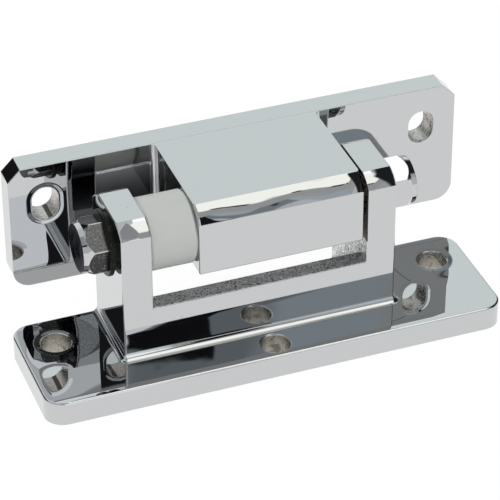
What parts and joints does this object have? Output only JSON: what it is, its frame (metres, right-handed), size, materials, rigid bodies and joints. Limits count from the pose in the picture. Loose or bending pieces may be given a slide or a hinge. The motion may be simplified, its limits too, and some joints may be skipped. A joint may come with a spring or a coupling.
{
  "type": "heavy duty door hinge",
  "caption": "Heavy surface-mounted door hinge: a base leaf with an eared bracket, and a door leaf whose square barrel turns on a through bolt beside a nylon collar.",
  "frame": {"origin": "centre of the base plate's underside", "axes": "+X along the pivot from the bolt head to the nut, +Y towards the door leaf, +Z out of the surface that the base plate is screwed to"},
  "size_m": [0.1875, 0.0783, 0.0668],
  "materials": {
    "chrome": "polished chrome plate",
    "bolt": "plated, rough flanks",
    "nut": "bright plate",
    "washer": "dark plated",
    "nylon": "off-white, satin"
  },
  "bodies": {
    "base": {"base_leaf": "chrome", "pivot_bolt": "bolt", "pivot_nut": "nut", "flat_washer": "washer", "lock_washer": "washer", "nylon_collar": "nylon"},
    "leaf": {"door_leaf": "chrome"}
  },
  "joints": [
    {"name": "leaf_pivot", "type": "hinge", "parent": "base", "child": "leaf", "pos_m": [0, 0.0063, 0.053], "axis": [1, 0, 0], "range_deg": [-20, 205]}
  ]
}
